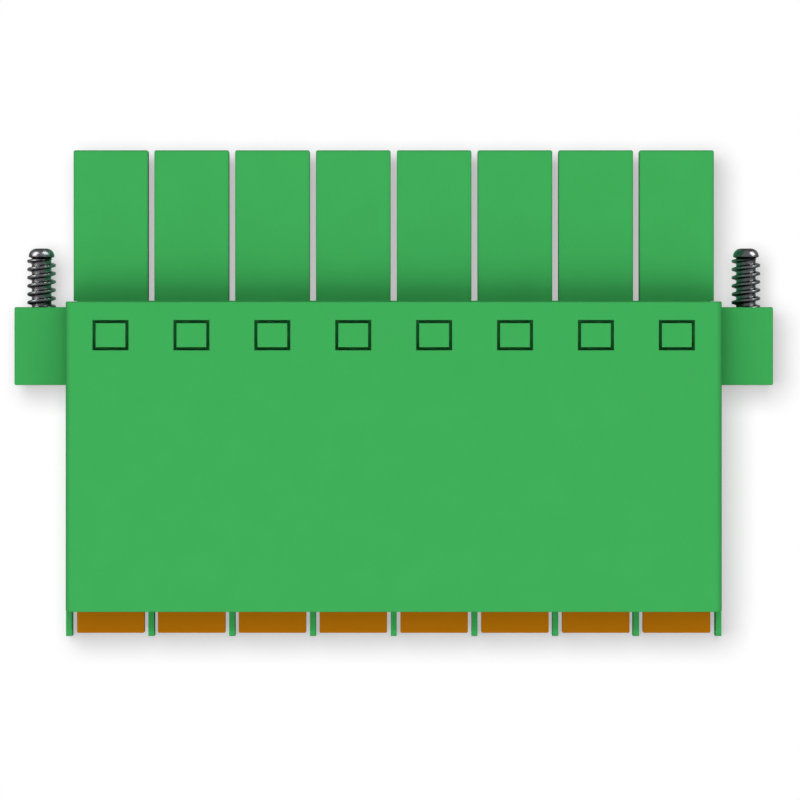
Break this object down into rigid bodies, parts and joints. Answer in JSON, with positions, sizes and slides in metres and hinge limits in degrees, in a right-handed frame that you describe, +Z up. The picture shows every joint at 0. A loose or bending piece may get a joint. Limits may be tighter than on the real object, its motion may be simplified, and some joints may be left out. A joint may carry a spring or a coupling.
{
  "type": "pluggable terminal block",
  "caption": "Flat push-in spring plug for board headers: a row of hollow mating fingers, release buttons at the wire side and captive screws in its end flanges.",
  "frame": {"origin": "under the middle of the plug's box, on the face it rests on", "axes": "+X along the row of poles, +Y the way the plug mates, +Z up"},
  "size_m": [0.0476, 0.0306, 0.0142],
  "materials": {
    "green_plastic": "satin moulded polyamide",
    "orange_plastic": "satin moulded polyamide",
    "tinned_copper": "tin-plated copper alloy",
    "spring_steel": "bright stainless strip",
    "dark_steel": "blackened steel"
  },
  "bodies": {
    "housing": {"housing_shell": "green_plastic", "contact_carrier": "green_plastic", "socket_contact_1": "tinned_copper", "socket_contact_2": "tinned_copper", "socket_contact_3": "tinned_copper", "socket_contact_4": "tinned_copper", "socket_contact_5": "tinned_copper", "socket_contact_6": "tinned_copper", "socket_contact_7": "tinned_copper", "socket_contact_8": "tinned_copper", "clamp_spring_1": "spring_steel", "clamp_spring_2": "spring_steel", "clamp_spring_3": "spring_steel", "clamp_spring_4": "spring_steel", "clamp_spring_5": "spring_steel", "clamp_spring_6": "spring_steel", "clamp_spring_7": "spring_steel", "clamp_spring_8": "spring_steel"},
    "button_1": {"release_button_1": "orange_plastic"},
    "button_2": {"release_button_2": "orange_plastic"},
    "button_3": {"release_button_3": "orange_plastic"},
    "button_4": {"release_button_4": "orange_plastic"},
    "button_5": {"release_button_5": "orange_plastic"},
    "button_6": {"release_button_6": "orange_plastic"},
    "button_7": {"release_button_7": "orange_plastic"},
    "button_8": {"release_button_8": "orange_plastic"},
    "screw_left": {"flange_screw_left": "dark_steel"},
    "screw_right": {"flange_screw_right": "dark_steel"}
  },
  "joints": [
    {"name": "button_1_press", "type": "slide", "parent": "housing", "child": "button_1", "axis": [0, 1, 0], "range_m": [0, 0.0012], "stiffness_N_per_m": 3000, "springref_m": -0.001, "deforming": ["clamp_spring_1"]},
    {"name": "button_2_press", "type": "slide", "parent": "housing", "child": "button_2", "axis": [0, 1, 0], "range_m": [0, 0.0012], "stiffness_N_per_m": 3000, "springref_m": -0.001, "deforming": ["clamp_spring_2"]},
    {"name": "button_3_press", "type": "slide", "parent": "housing", "child": "button_3", "axis": [0, 1, 0], "range_m": [0, 0.0012], "stiffness_N_per_m": 3000, "springref_m": -0.001, "deforming": ["clamp_spring_3"]},
    {"name": "button_4_press", "type": "slide", "parent": "housing", "child": "button_4", "axis": [0, 1, 0], "range_m": [0, 0.0012], "stiffness_N_per_m": 3000, "springref_m": -0.001, "deforming": ["clamp_spring_4"]},
    {"name": "button_5_press", "type": "slide", "parent": "housing", "child": "button_5", "axis": [0, 1, 0], "range_m": [0, 0.0012], "stiffness_N_per_m": 3000, "springref_m": -0.001, "deforming": ["clamp_spring_5"]},
    {"name": "button_6_press", "type": "slide", "parent": "housing", "child": "button_6", "axis": [0, 1, 0], "range_m": [0, 0.0012], "stiffness_N_per_m": 3000, "springref_m": -0.001, "deforming": ["clamp_spring_6"]},
    {"name": "button_7_press", "type": "slide", "parent": "housing", "child": "button_7", "axis": [0, 1, 0], "range_m": [0, 0.0012], "stiffness_N_per_m": 3000, "springref_m": -0.001, "deforming": ["clamp_spring_7"]},
    {"name": "button_8_press", "type": "slide", "parent": "housing", "child": "button_8", "axis": [0, 1, 0], "range_m": [0, 0.0012], "stiffness_N_per_m": 3000, "springref_m": -0.001, "deforming": ["clamp_spring_8"]},
    {"name": "screw_left_turn", "type": "hinge", "parent": "housing", "child": "screw_left", "pos_m": [-0.02217, 0.00271, 0.008], "axis": [0, 1, 0], "continuous": true},
    {"name": "screw_right_turn", "type": "hinge", "parent": "housing", "child": "screw_right", "pos_m": [0.02217, 0.00271, 0.008], "axis": [0, 1, 0], "continuous": true}
  ]
}
